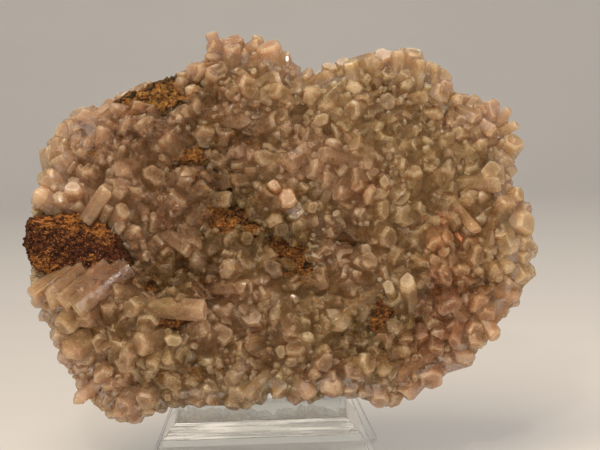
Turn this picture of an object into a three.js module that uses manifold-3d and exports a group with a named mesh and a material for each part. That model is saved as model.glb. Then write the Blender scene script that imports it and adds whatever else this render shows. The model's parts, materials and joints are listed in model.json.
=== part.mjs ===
// Drusy quartz on matrix: a plate of rusty rock overgrown with stubby quartz prisms, on a clear easel.
// Millimetres, +Z up, the crystal face towards -Y. The origin is at the bottom centre of the whole.
//
// The specimen is laid out in its own frame, in which [a, b, d] is right, up the face, and out of it,
// and then leans back on the easel.
import * as THREE from 'three';
import { mergeVertices } from 'three/addons/utils/BufferGeometryUtils.js';
import Module from 'manifold-3d';

const wasm = await Module();
wasm.setup();

// ---------------------------------------------------------------- driving dimensions
const lean = 12;                  // degrees that the specimen and the easel's back lean by
const seat = 0.3;                 // gap between pieces that touch
const roll = 2;                   // degrees that the specimen is turned clockwise in its own plane
const middle = [0, 66];           // a, b that the outline is measured from
const crystalReach = 2.2;         // crystals stand out past the crust's own edge by this much
const crustLevel = 9.5;           // d of the crust's surface at the middle
const crustThickness = 7.5;
const crustWrap = -12;            // d that the crust reaches back to over the edge
const crustUnevenness = 1.1;
const rimDrop = 9;                // how far the face falls away at the edge
const matrixInset = 5.8;          // the rock's edge lies this far inside the crust's
const matrixBack = -19;           // d of the rock's back
const matrixShows = 1.2;          // bare rock stands this far above the crust round it

const ledgeTop = 27;              // height of the ledge over the table
const ledgeThickness = 6.35;
const ledgeFront = -18;           // y of the ledge's polished front edge
const easelCentre = -8.5;         // the specimen sits a little off the easel's middle
const ledgeHalfWidth = 34.9;      // half the ledge's width along its lower edge
const easelTaper = 0.41;          // the easel narrows by this much for each millimetre of height
const plateThickness = 4.5;
const backHeight = 96;
const backTopHalfWidth = 21;
const legTop = 66;                // height at which the leg meets the back plate
const legFoot = 68;               // y of the leg's foot

// The specimen's outline over the crystals' tips, as [a, b], clockwise from the left.
const outline = [
  [-90, 66], [-90, 76], [-84.5, 84], [-85, 92], [-79, 102.5], [-70, 109], [-58, 116], [-49, 120.5],
  [-36, 121.5], [-27, 128.5], [-24, 136.5], [-15, 135], [-7.5, 134], [3, 129.5], [5, 123.5], [12, 122.5],
  [24, 127], [34, 129], [44, 131], [58, 126], [60.5, 118], [73, 113], [83.5, 106], [85, 94], [83.5, 84],
  [89, 74], [90.3, 60], [88, 46], [83, 37], [76, 30], [69, 21], [57, 13], [47, 9.5], [41, 4.5], [32, 6],
  [22, 8.5], [12, 5], [-3, 7.5], [-15, 3.5], [-31, 4.5], [-46, 1.5], [-56, -2], [-65, 2.5], [-72, 10],
  [-77, 18], [-80, 28], [-84, 37], [-89, 43], [-89.5, 56],
];

// Broad forms of the face, as [a, b, spread, height]: swells above and hollows below its mean level.
const swells = [
  [-72, 60, 15, 4], [-62, 28, 20, 3], [-52, 88, 22, 2.5], [-38, 36, 13, 3.5], [25, 100, 24, 4.5],
  [62, 88, 20, 3.5], [12, 27, 18, 3], [32, 76, 13, 3], [78, 62, 14, 2.5], [-18, 118, 14, 2.5],
  [42, 40, 12, 3], [1, 76, 8, 3], [-18, 102, 10, -5], [-18, 76, 9, -5], [3, 59, 10, -6],
  [24, 63, 7, -5], [-24, 43, 6, -4], [-7, 28, 6, -4], [25, 28, 6, -3], [52, 35, 9, -5],
  [68, 63, 8, -3.5], [76, 43, 8, -3.5], [-40, 58, 8, -3],
];

// The broken block of rock at the left: its outline, and how far it stands out.
const blockOutline = [
  [-91, 60], [-90, 69.5], [-80, 71], [-71, 70.5], [-61, 66], [-55.5, 60], [-52.5, 53], [-58, 50.5],
  [-70, 50.5], [-84, 50.5], [-89.5, 54],
];
const blockMiddle = [-72, 60];
const blockFace = 15;

// Smaller places where the rock shows between the crystals, as [a, b, half width, half height].
const bareRock = [
  [-49, 114, 12, 5], [-31, 92.5, 6, 5], [-20, 70, 6, 6.5], [3, 58.5, 7, 6], [-37, 32.5, 5.5, 2.4],
  [36, 35, 5, 5.5], [7, 49.5, 4.5, 3],
];

// The crystals that stand out, as [a, b, width, length, heading, tilt]: a, b is the root on the face,
// heading is the way it points over the face (0 right, 90 up) and tilt its angle off straight out.
const largeCrystals = [
  // fan under the block
  [-76, 49, 7.4, 15, 219, 74], [-69, 50, 5.6, 15, 230, 70], [-55, 50, 8.2, 22, 220, 72],
  [-70, 40, 8, 13, 242, 62], [-67, 28, 9, 13, 222, 58], [-61, 41, 6, 12, 228, 68],
  // above the block
  [-82, 74, 9.5, 9, 150, 42], [-67, 68, 5.6, 12, 53, 70], [-72, 75, 7, 8, 110, 30],
  [-78, 82, 6, 8, 150, 50], [-60, 67, 5, 7, 20, 55],
  // left and middle
  [-30, 86, 6.8, 8, 200, 40], [-46, 75, 4.8, 11, 0, 78], [-42, 65, 6.4, 14, 325, 66],
  [-43, 38, 8, 18, 355, 74], [-54, 38, 4.6, 7, 180, 25], [-61, 26, 9, 6, 240, 18],
  [-54, 19, 7.2, 7, 260, 15], [-38, 28, 6, 7, 300, 22], [-43, 22, 6, 8, 250, 45],
  [-39, 17, 5.4, 7, 290, 50], [-65, 11, 6.2, 11, 222, 74], [-4, 15, 6.6, 13, 228, 70],
  [9, 23, 5.2, 8, 78, 45], [3, 23, 5, 6, 200, 25], [-7.5, 41, 6.4, 7, 60, 22],
  [-20, 45, 8, 11, 0, 58], [-27, 52, 4.4, 10, 354, 72],
  // middle cluster
  [-1, 79, 5.2, 7, 110, 20], [2.5, 75, 8, 7, 60, 12], [-1, 71, 6.2, 7, 260, 30],
  [7, 78.5, 4.4, 6, 50, 35], [9.6, 74.5, 4.6, 6, 330, 30],
  [24, 76.5, 7.8, 6, 240, 14], [33, 78, 7.8, 6, 200, 16], [37, 80, 4.6, 8, 80, 14],
  [41.5, 77, 7, 6, 330, 24], [19, 58, 4, 6, 180, 20], [29, 58, 4.4, 6, 10, 22],
  [23.5, 54, 4.6, 6, 260, 25], [37.5, 64, 6, 6, 280, 18],
  // right
  [48, 80, 7.4, 8, 92, 55], [53, 85, 6.4, 6, 80, 30], [55, 80.5, 5, 8, 0, 68],
  [60, 78, 5.2, 17, 307, 76], [59, 73, 7, 5, 240, 12], [55, 68.5, 5, 5, 200, 15],
  [63.5, 64, 5.4, 6, 300, 25], [67, 60, 5.6, 6, 20, 18], [60, 58.5, 5.6, 6, 210, 20],
  [57.7, 55, 6.2, 8, 270, 58], [64.5, 53.5, 7, 6, 280, 35], [70, 53, 5.2, 6, 310, 30],
  [66, 82, 7.6, 13, 0, 68], [81, 77, 6, 7, 20, 55], [82, 69, 10, 9, 350, 50],
  [82, 59, 6, 9, 330, 55], [78, 56, 5.6, 9, 312, 48], [84, 53, 5, 8, 300, 62],
  [46, 30, 6, 8, 250, 58], [44, 31, 5.6, 7, 285, 50], [52.5, 36, 5.6, 7, 300, 48],
  [46.5, 41, 8, 9, 100, 45], [40.5, 42, 6, 7, 120, 30],
  [66, 36, 6.6, 13, 250, 62], [69, 36, 6.4, 13, 275, 64], [72, 37, 5.6, 12, 300, 66], [57, 33, 6, 12, 265, 62],
  // lower edge
  [27, 20, 5.6, 8, 285, 58], [35, 21, 6, 9, 295, 58], [24, 13.5, 5.2, 10, 190, 72],
  [35.8, 9, 7.6, 6, 270, 55], [-56, 5, 7, 7, 262, 60], [-47, 6, 6.4, 7, 275, 62], [-16, 8, 6.4, 6, 265, 70],
  // upper edge
  [-22, 130, 5.6, 6, 112, 76], [-16, 129, 8.4, 5, 95, 52], [-9, 130, 4.4, 5, 80, 72],
  [-6, 127, 5.8, 10, 4, 76], [-3, 122, 5.2, 8, 225, 62], [-8, 124, 3, 9, 2, 74],
  [1, 115.5, 5.8, 8, 300, 48], [-13, 114, 4.8, 6, 190, 35], [27, 115, 7.6, 6, 80, 12],
  [16.5, 113, 5.2, 6, 140, 22], [16.5, 105.5, 6, 6, 220, 20], [26, 98, 9, 5, 260, 14],
  [43, 121, 6.6, 10, 92, 72], [50, 118, 6.6, 10, 88, 70], [56, 115, 5.4, 11.5, 88, 76],
  [35, 119, 6, 9, 95, 68], [27, 119, 6.4, 8, 102, 66],
  [79, 101, 3.8, 8, 25, 66], [78, 104, 3.6, 8, 48, 66], [79, 97, 3.8, 7, 8, 64],
];
const fillSpacing = 12.6;         // spacing of the smaller crystals that fill the face
const fillWidth = [5, 7.5];       // their least and greatest width
const fillLength = [3.6, 6.6];    // and length above the crust
const rimCrystals = 34;           // crystals that point outwards round the edge
const rootDepth = 2.6;            // each crystal starts this far inside the crust
const pointHeight = 0.3;          // height of a crystal's low point, in widths

// ---------------------------------------------------------------- helpers
const radians = THREE.MathUtils.degToRad;

// Repeatable random numbers from 0 to 1.
function seeded(seed) {
  let state = seed;
  return () => {
    state = (Math.imul(state, 1664525) + 1013904223) >>> 0;
    return state / 4294967296;
  };
}

// A repeatable value from -1 to 1 for a place, for rough rock.
function roughness(a, b, d) {
  const wave = Math.sin(a * 12.9898 + b * 78.233 + d * 37.719) * 43758.5453;
  return 2 * (wave - Math.floor(wave)) - 1;
}

// Radius of a closed outline round its middle, as a smooth function of the angle.
function radiusOf(points, [a0, b0]) {
  const rays = points.map(([a, b]) => ({
    angle: (Math.atan2(b - b0, a - a0) + 2 * Math.PI) % (2 * Math.PI),
    radius: Math.hypot(a - a0, b - b0),
  }));
  rays.sort((one, other) => one.angle - other.angle);
  const turn = 2 * Math.PI;
  return (angle) => {
    const at = ((angle % turn) + turn) % turn;
    let next = rays.findIndex((ray) => ray.angle > at);
    if (next < 0) next = rays.length;
    const low = rays[(next - 1 + rays.length) % rays.length];
    const high = rays[next % rays.length];
    const span = (high.angle - low.angle + turn) % turn;
    const share = ((at - low.angle + turn) % turn) / span;
    return low.radius + (high.radius - low.radius) * share;
  };
}

const outerRadius = radiusOf(outline, middle);
const crustRadius = (angle) => outerRadius(angle) - crystalReach;

// The rock's edge is rounder than the crust's: it follows the smallest radius near each angle.
function rockRadius(angle) {
  const near = [-0.2, -0.1, 0, 0.1, 0.2].map((step) => crustRadius(angle + step));
  return (Math.min(...near) + near[2] + near[1] + near[3]) / 4 - matrixInset;
}

// How far out a place on the face lies: 0 at the middle and 1 at the crust's edge.
function outwards(a, b) {
  const angle = Math.atan2(b - middle[1], a - middle[0]);
  return Math.hypot(a - middle[0], b - middle[1]) / crustRadius(angle);
}

// The crust's surface: its d at a place on the face.
function surface(a, b) {
  let level = crustLevel - rimDrop * Math.min(outwards(a, b), 1.1) ** 5;
  for (const [sa, sb, spread, height] of swells) {
    const distance = Math.hypot(a - sa, b - sb) / spread;
    level += height * Math.exp(-(distance ** 2));
  }
  return level;
}

// A closed slab round a middle: rings of points on its front and its back, joined by a band. It can be
// grown all over by some millimetres.
function slabGeometry({ centre, segments, rings, radius, front, back, grow = 0 }) {
  const positions = [];
  const faces = [];
  const count = rings * segments + 1;
  for (const [level, outward] of [[front, grow], [back, -grow]]) {
    positions.push(centre[0], -level(centre[0], centre[1], 0) - outward, centre[1]);
    for (let ring = 1; ring <= rings; ring += 1) {
      const share = (ring / rings) ** 0.8;
      for (let segment = 0; segment < segments; segment += 1) {
        const angle = ((segment + (ring % 2) / 2) / segments) * 2 * Math.PI;
        const a = Math.cos(angle) * radius(angle) * share;
        const b = Math.sin(angle) * radius(angle) * share;
        positions.push(
          centre[0] + a + Math.cos(angle) * grow * share,
          -level(centre[0] + a, centre[1] + b, share) - outward,
          centre[1] + b + Math.sin(angle) * grow * share,
        );
      }
    }
  }
  const at = (side, ring, segment) => side * count + 1 + (ring - 1) * segments + (segment % segments);
  const add = (side, i, j, k) => faces.push(...(side === 0 ? [i, j, k] : [i, k, j]));
  for (const side of [0, 1]) {
    for (let segment = 0; segment < segments; segment += 1) {
      add(side, side * count, at(side, 1, segment), at(side, 1, segment + 1));
      for (let ring = 1; ring < rings; ring += 1) {
        // Every second ring is half a step round, so that the faces are even.
        const shift = ring % 2 ? 0 : 1;
        const inner = [at(side, ring, segment), at(side, ring, segment + 1)];
        const outer = [at(side, ring + 1, segment), at(side, ring + 1, segment + 1)];
        if (shift) {
          add(side, inner[0], outer[0], inner[1]);
          add(side, outer[0], outer[1], inner[1]);
        } else {
          add(side, inner[0], outer[0], outer[1]);
          add(side, inner[0], outer[1], inner[1]);
        }
      }
    }
  }
  for (let segment = 0; segment < segments; segment += 1) {
    faces.push(at(0, rings, segment), at(1, rings, segment), at(1, rings, segment + 1));
    faces.push(at(0, rings, segment), at(1, rings, segment + 1), at(0, rings, segment + 1));
  }
  const geometry = new THREE.BufferGeometry();
  geometry.setAttribute('position', new THREE.Float32BufferAttribute(positions, 3));
  geometry.setIndex(faces);
  return geometry;
}

// manifold-3d's solid of a closed geometry.
function solidOf(geometry) {
  const bare = geometry.clone();
  bare.deleteAttribute('normal');
  bare.deleteAttribute('uv');
  const merged = mergeVertices(bare, 1e-4);
  return new wasm.Manifold(new wasm.Mesh({
    numProp: 3,
    vertProperties: new Float32Array(merged.attributes.position.array),
    triVerts: new Uint32Array(merged.index.array),
  }));
}

// The geometry of a solid's largest body: booleans can leave loose crumbs beside it.
function geometryOf(solid) {
  const bodies = solid.decompose();
  bodies.sort((one, other) => other.volume() - one.volume());
  const mesh = bodies[0].getMesh();
  const geometry = new THREE.BufferGeometry();
  geometry.setAttribute('position', new THREE.Float32BufferAttribute(mesh.vertProperties, 3));
  geometry.setIndex([...mesh.triVerts]);
  return geometry;
}

// ---------------------------------------------------------------- rock
// The rock, grown outwards by some millimetres where it cuts its seat into the crust.
function rock(grow) {
  const body = slabGeometry({
    centre: middle,
    segments: 22,
    rings: 4,
    radius: rockRadius,
    front: (a, b) => surface(a, b) - crustThickness + 0.5 * roughness(a, b, 1),
    back: (a, b, share) => matrixBack + 3.6 * Math.max(0, roughness(a, b, 2)) + 6 * share ** 5,
    grow,
  });
  const blockRadius = radiusOf(blockOutline, blockMiddle);
  const block = slabGeometry({
    centre: blockMiddle,
    segments: 20,
    rings: 3,
    radius: (angle) => blockRadius(angle) + 0.6 * roughness(angle, 0, 3),
    front: (a, b, share) => blockFace + 1.6 * roughness(a, b, 3) - 3.5 * share ** 4,
    back: () => 0.5 * matrixBack,
    grow,
  });
  let solid = solidOf(body).add(solidOf(block));
  for (const [a0, b0, halfWidth, halfHeight] of bareRock) {
    const lump = slabGeometry({
      centre: [a0, b0],
      segments: 9,
      rings: 2,
      radius: (angle) => {
        const oval = Math.hypot(Math.cos(angle) / halfWidth, Math.sin(angle) / halfHeight);
        return (1 + 0.12 * Math.sin(3 * angle + a0)) / oval;
      },
      front: (a, b, share) => surface(a, b) + matrixShows * (1 - share ** 3) + 0.5 * roughness(a, b, 4),
      back: () => 0,
      grow,
    });
    solid = solid.add(solidOf(lump));
  }
  return solid;
}

// ---------------------------------------------------------------- crystals
// A stubby six-sided prism with a low point, standing on the origin along +Z.
function prismGeometry(width, length) {
  const sides = 6;
  const profile = [
    new THREE.Vector2(0, -rootDepth),
    new THREE.Vector2(width / 2, -rootDepth),
    new THREE.Vector2(width / 2, length - pointHeight * width),
    new THREE.Vector2(0, length),
  ];
  const geometry = new THREE.LatheGeometry(profile, sides);
  geometry.rotateX(Math.PI / 2);
  return geometry;
}

// A crystal on the face: root, size, heading, tilt and turn about its own axis.
function crystal([a, b, width, length, heading, tilt], spin, depth = surface(a, b)) {
  const geometry = prismGeometry(width, length);
  const along = Math.sin(radians(tilt));
  const axis = new THREE.Vector3(
    Math.cos(radians(heading)) * along,
    -Math.cos(radians(tilt)),
    Math.sin(radians(heading)) * along,
  );
  geometry.rotateZ(spin);
  geometry.applyQuaternion(new THREE.Quaternion().setFromUnitVectors(new THREE.Vector3(0, 0, 1), axis));
  const lift = 0.28 * width * along;
  geometry.translate(a, -(depth + lift), b);
  return solidOf(geometry);
}

// True where a smaller crystal would stand on bare rock or inside a large crystal.
function occupied(a, b) {
  if (Math.abs(a - blockMiddle[0]) < 20 && Math.abs(b - blockMiddle[1]) < 10) return true;
  const onRock = bareRock.some(([a0, b0, halfWidth, halfHeight]) => (
    Math.hypot((a - a0) / halfWidth, (b - b0) / halfHeight) < 1));
  return onRock || largeCrystals.some(([a0, b0, width, length, heading, tilt]) => {
    const reach = 0.6 * length * Math.sin(radians(tilt));
    const aim = [a0 + reach * Math.cos(radians(heading)), b0 + reach * Math.sin(radians(heading))];
    return Math.hypot(a - aim[0], b - aim[1]) < 0.75 * (width + fillWidth[0]);
  });
}

// The smaller crystals that fill the face, fanning outwards from the middle.
function fillCrystals() {
  const random = seeded(11);
  const between = ([least, most]) => least + (most - least) * random();
  const crystals = [];
  const rowHeight = fillSpacing * 0.866;
  for (let row = 0; row * rowHeight < 140; row += 1) {
    for (let column = -10; column <= 10; column += 1) {
      const a = (column + (row % 2) / 2) * fillSpacing + 5 * (random() - 0.5);
      const b = row * rowHeight + 5 * (random() - 0.5);
      const width = between(fillWidth);
      const length = between(fillLength);
      const heading = THREE.MathUtils.radToDeg(Math.atan2(b - middle[1], a - middle[0])) + 110 * (random() - 0.5);
      const tilt = 8 + 34 * random() + 22 * outwards(a, b);
      const spin = random() * Math.PI;
      if (outwards(a, b) < 0.93 && !occupied(a, b)) {
        crystals.push(crystal([a, b, width, length, heading, tilt], spin));
      }
    }
  }
  return crystals;
}

// Crystals that point outwards round the edge.
function edgeCrystals() {
  const random = seeded(23);
  const crystals = [];
  for (let count = 0; count < rimCrystals; count += 1) {
    const angle = ((count + 0.6 * random()) / rimCrystals) * 2 * Math.PI;
    const inside = crustRadius(angle) - 1.5;
    const a = middle[0] + inside * Math.cos(angle);
    const b = middle[1] + inside * Math.sin(angle);
    const heading = THREE.MathUtils.radToDeg(angle) + 36 * (random() - 0.5);
    const width = 5.4 + 3.4 * random();
    const tilt = 74 + 40 * random();
    const depth = -7.5 + 8 * random();
    const spin = random() * Math.PI;
    if (Math.abs(b - blockMiddle[1]) > 11 || a > blockMiddle[0]) {
      crystals.push(crystal([a, b, width, 1.2 + crystalReach + random(), heading, tilt], spin, depth));
    }
  }
  return crystals;
}

// The whole druse: a crust that follows the face and wraps over its edge, crystals grown into it.
function crust() {
  const random = seeded(5);
  const base = solidOf(slabGeometry({
    centre: middle,
    segments: 24,
    rings: 5,
    radius: crustRadius,
    front: (a, b) => surface(a, b) + crustUnevenness * roughness(a, b, 5),
    back: (a, b, share) => crustWrap + 3 * share ** 4 + roughness(a, b, 6),
  }));
  const crystals = [
    ...largeCrystals.map((entry) => crystal(entry, random() * Math.PI)),
    ...fillCrystals(),
    ...edgeCrystals(),
  ];
  return wasm.Manifold.union([base, ...crystals]).subtract(rock(1.3 * seat));
}

// ---------------------------------------------------------------- easel
const slope = Math.tan(radians(lean));
const leanCos = Math.cos(radians(lean));
const leanSin = Math.sin(radians(lean));

// Half the easel's width at a height.
function easelHalfWidth(height) {
  return Math.max(ledgeHalfWidth + (ledgeTop - ledgeThickness - height) * easelTaper, backTopHalfWidth);
}

// A plate from its side view, [y, z] corners, cut to the easel's tapering front view.
function easelPlate(sideView, top, cornerRadius = 0) {
  const side = new THREE.Shape(sideView.map(([y, z]) => new THREE.Vector2(y, z)));
  const width = 200;
  const slice = new THREE.ExtrudeGeometry(side, { depth: width, bevelEnabled: false });
  slice.rotateX(Math.PI / 2);
  slice.rotateZ(Math.PI / 2);
  slice.translate(-width / 2, 0, 0);
  const front = new THREE.Shape();
  const narrowing = ledgeTop - ledgeThickness + (ledgeHalfWidth - backTopHalfWidth) / easelTaper;
  front.moveTo(-easelHalfWidth(-1), -1);
  front.lineTo(easelHalfWidth(-1), -1);
  if (top > narrowing) front.lineTo(backTopHalfWidth, narrowing);
  const half = easelHalfWidth(top);
  if (cornerRadius > 0) {
    front.lineTo(half, top - cornerRadius);
    front.absarc(half - cornerRadius, top - cornerRadius, cornerRadius, 0, Math.PI / 2, false);
    front.absarc(-half + cornerRadius, top - cornerRadius, cornerRadius, Math.PI / 2, Math.PI, false);
  } else {
    front.lineTo(half, top);
    front.lineTo(-half, top);
  }
  if (top > narrowing) front.lineTo(-backTopHalfWidth, narrowing);
  const outlineSolid = new THREE.ExtrudeGeometry(front, { depth: width, bevelEnabled: false, curveSegments: 4 });
  outlineSolid.rotateX(Math.PI / 2);
  outlineSolid.translate(easelCentre, width / 2, 0);
  const plate = solidOf(slice).intersect(solidOf(outlineSolid));
  return geometryOf(plate);
}

// y of the back plate's front face at a height, and of its rear face.
const restFace = (height) => (-matrixBack + seat) / leanCos + (height - ledgeTop) * slope;
const rearFace = (height) => restFace(height) + plateThickness / leanCos;

function backPlate() {
  const top = [restFace(backHeight), backHeight];
  return easelPlate([
    [restFace(0), 0],
    [rearFace(0), 0],
    [top[0] + plateThickness * leanCos, top[1] - plateThickness * leanSin],
    top,
  ], backHeight, 9);
}

function ledgePlate() {
  const under = ledgeTop - ledgeThickness;
  return easelPlate([
    [ledgeFront, under],
    [restFace(under) - seat, under],
    [restFace(ledgeTop) - seat, ledgeTop],
    [ledgeFront, ledgeTop],
  ], ledgeTop);
}

function frontPlate() {
  const under = ledgeTop - ledgeThickness - seat;
  const rear = ledgeFront + 3 + plateThickness;
  return easelPlate([[ledgeFront + 3, 0], [rear, 0], [rear, under], [ledgeFront + 3, under]], under);
}

function legPlate() {
  const topFront = [rearFace(legTop) + seat, legTop];
  const lowFront = [rearFace(legTop - 9) + seat, legTop - 9];
  return easelPlate([[legFoot - plateThickness, 0], [legFoot, 0], topFront, lowFront], legTop);
}

// ---------------------------------------------------------------- assembly
const finishes = {
  rock: { color: 0x5a3a1c, roughness: 0.95, metalness: 0 },
  quartz: { color: 0xc99f70, roughness: 0.3, metalness: 0 },
  acrylic: { color: 0xe4eceb, roughness: 0.05, metalness: 0, transparent: true, opacity: 0.35 },
};

function piece(name, geometry, finish) {
  const mesh = new THREE.Mesh(geometry, new THREE.MeshStandardMaterial(finishes[finish]));
  mesh.name = name;
  return mesh;
}

const crustSolid = crust();
const specimen = new THREE.Group();
specimen.add(piece('matrix', geometryOf(rock(0)), 'rock'));
specimen.add(piece('crystal_crust', geometryOf(crustSolid), 'quartz'));
specimen.rotation.set(-radians(lean), radians(roll), 0);
specimen.position.x = -middle[1] * Math.sin(radians(roll));

// The specimen is let down until its lowest crystal over the ledge rests on it.
function lowestOverLedge(group) {
  group.updateMatrixWorld(true);
  let lowest = Infinity;
  const point = new THREE.Vector3();
  group.traverse((object) => {
    if (!object.isMesh) return;
    const position = object.geometry.attributes.position;
    for (let index = 0; index < position.count; index += 1) {
      point.fromBufferAttribute(position, index).applyMatrix4(object.matrixWorld);
      if (Math.abs(point.x - easelCentre) < ledgeHalfWidth + 4) lowest = Math.min(lowest, point.z);
    }
  });
  return lowest;
}
const rise = ledgeTop + seat - lowestOverLedge(specimen);
specimen.position.y = (rise - ledgeTop) * slope;
specimen.position.z = rise;

const easel = new THREE.Group();
easel.add(piece('stand_back', backPlate(), 'acrylic'));
easel.add(piece('stand_ledge', ledgePlate(), 'acrylic'));
easel.add(piece('stand_front', frontPlate(), 'acrylic'));
easel.add(piece('stand_leg', legPlate(), 'acrylic'));

const whole = new THREE.Group();
whole.add(specimen, easel);
whole.updateMatrixWorld(true);
const box = new THREE.Box3().setFromObject(whole, true);
whole.position.set(-(box.min.x + box.max.x) / 2, -(box.min.y + box.max.y) / 2, -box.min.z);

export default whole;
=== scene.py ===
"""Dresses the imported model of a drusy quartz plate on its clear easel."""
import json
import math

import bmesh
import bpy
import numpy as np
from mathutils import Matrix, Vector, noise

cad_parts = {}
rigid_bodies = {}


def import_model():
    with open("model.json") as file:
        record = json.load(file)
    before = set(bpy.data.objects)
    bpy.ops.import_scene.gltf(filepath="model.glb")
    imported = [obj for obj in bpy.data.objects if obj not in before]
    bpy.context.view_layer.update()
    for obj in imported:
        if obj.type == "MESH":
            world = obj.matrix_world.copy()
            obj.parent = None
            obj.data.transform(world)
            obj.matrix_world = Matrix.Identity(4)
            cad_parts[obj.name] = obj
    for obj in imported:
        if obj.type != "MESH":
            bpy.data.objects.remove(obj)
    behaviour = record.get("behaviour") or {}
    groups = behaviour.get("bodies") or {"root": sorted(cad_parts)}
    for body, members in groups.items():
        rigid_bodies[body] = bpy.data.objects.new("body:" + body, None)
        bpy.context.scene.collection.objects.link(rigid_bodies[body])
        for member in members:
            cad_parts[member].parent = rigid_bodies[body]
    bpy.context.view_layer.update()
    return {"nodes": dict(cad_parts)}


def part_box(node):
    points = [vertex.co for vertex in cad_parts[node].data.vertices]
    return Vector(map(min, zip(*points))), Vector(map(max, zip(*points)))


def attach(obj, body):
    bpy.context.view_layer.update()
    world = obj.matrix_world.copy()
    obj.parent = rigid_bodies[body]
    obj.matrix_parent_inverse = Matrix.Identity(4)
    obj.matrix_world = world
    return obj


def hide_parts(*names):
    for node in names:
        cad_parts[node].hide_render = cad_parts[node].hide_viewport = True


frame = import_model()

MM = 0.001


def into_scene(name, data):
    """A new object, linked to the scene."""
    made = bpy.data.objects.new(name, data)
    bpy.context.scene.collection.objects.link(made)
    return made


def store(mesh, name, values, domain="POINT"):
    """Gives a mesh one number for each point or face, which its paint reads."""
    mesh.attributes.new(name, "FLOAT", domain).data.foreach_set("value", values)


def clamped(value):
    return min(1.0, max(0.0, value))


def paint_with(mesh, material):
    """Gives a mesh this material and no other."""
    mesh.materials.clear()
    mesh.materials.append(material)


# ------------ the specimen's own frame
# Millimetres: [a, b, d] is right, up the face, and out of it. It leans back on the easel.
LEAN = math.radians(12)
ROLL = math.radians(2)  # how far it is turned in its own plane
MIDDLE = (0.0, 66.0)
EASEL_CENTRE = -8.5  # the easel's middle, right of the specimen's
LEDGE_FRONT = -18.0  # y of the ledge's front edge, from the specimen's origin before its shift
RISE = 24.888  # height of the specimen's origin
SETBACK = -0.449  # that shift, along y
MATRIX_BACK = -19.0  # d of the rock's back

ledge_low, ledge_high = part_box("stand_ledge")
ORIGIN = Vector((
    (ledge_low.x + ledge_high.x) / 2 / MM - EASEL_CENTRE - MIDDLE[1] * math.sin(ROLL),
    ledge_low.y / MM - LEDGE_FRONT + SETBACK,
    RISE,
))
TO_WORLD = Matrix.Translation(ORIGIN) @ Matrix.Rotation(-LEAN, 4, "X") @ Matrix.Rotation(ROLL, 4, "Y")


def place(a, b, d):
    """A point of the specimen's frame, in metres in the model's frame."""
    return TO_WORLD @ Vector((a, -d, b)) * MM


def aim(a, b, d):
    """A direction of the specimen's frame, in the model's frame."""
    return (TO_WORLD.to_3x3() @ Vector((a, -d, b))).normalized()


# ------------ sizes
CRYSTAL_REACH = 2.2  # from the crust's edge to the crystals' tips
CRUST_LEVEL = 9.5  # d of the crust at the middle of its face
RIM_DROP = 9.0  # how much lower the crust is at its edge
CRUST_WRAP = -12.0  # d that the crust reaches round the edge
CRUST_THICKNESS = 7.5  # crust over the rock
MATRIX_INSET = 5.8  # from the crust's edge to the rock's
BLOCK_MIDDLE = (-72.0, 60.0)
BLOCK_FACE = 15.0  # d of the broken block's face

# The outline over the crystals' tips, as [a, b], clockwise from the left.
OUTLINE = [
    (-90, 66), (-90, 76), (-84.5, 84), (-85, 92), (-79, 102.5), (-70, 109), (-58, 116), (-49, 120.5),
    (-36, 121.5), (-27, 128.5), (-24, 136.5), (-15, 135), (-7.5, 134), (3, 129.5), (5, 123.5), (12, 122.5),
    (24, 127), (34, 129), (44, 131), (58, 126), (60.5, 118), (73, 113), (83.5, 106), (85, 94), (83.5, 84),
    (89, 74), (90.3, 60), (88, 46), (83, 37), (76, 30), (69, 21), (57, 13), (47, 9.5), (41, 4.5), (32, 6),
    (22, 8.5), (12, 5), (-3, 7.5), (-15, 3.5), (-31, 4.5), (-46, 1.5), (-56, -2), (-65, 2.5), (-72, 10),
    (-77, 18), (-80, 28), (-84, 37), (-89, 43), (-89.5, 56),
]
# Swells and hollows of the face, as [a, b, spread, height].
SWELLS = [
    (-72, 60, 15, 4), (-62, 28, 20, 3), (-52, 88, 22, 2.5), (-38, 36, 13, 3.5), (25, 100, 24, 4.5),
    (62, 88, 20, 3.5), (12, 27, 18, 3), (32, 76, 13, 3), (78, 62, 14, 2.5), (-18, 118, 14, 2.5),
    (42, 40, 12, 3), (1, 76, 8, 3), (-18, 102, 10, -5), (-18, 76, 9, -5), (3, 59, 10, -6), (24, 63, 7, -5),
    (-24, 43, 6, -4), (-7, 28, 6, -4), (25, 28, 6, -3), (52, 35, 9, -5), (68, 63, 8, -3.5),
    (76, 43, 8, -3.5), (-40, 58, 8, -3), (-32, 50, 8, -4.5), (64, 44, 7, -3.5), (54, 27, 7, -3.5),
    (60, 14, 9, -3), (28, 10, 8, -2.5), (-45, 6, 8, -2.5),
]
# The broken block's outline, as [a, b].
BLOCK_OUTLINE = [
    (-91, 60), (-90.5, 69.8), (-80, 71.5), (-74, 72), (-66, 69.5), (-58.5, 66), (-54.5, 61), (-50.5, 51),
    (-59, 50), (-70, 50.5), (-84, 50), (-89.5, 54),
]
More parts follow.
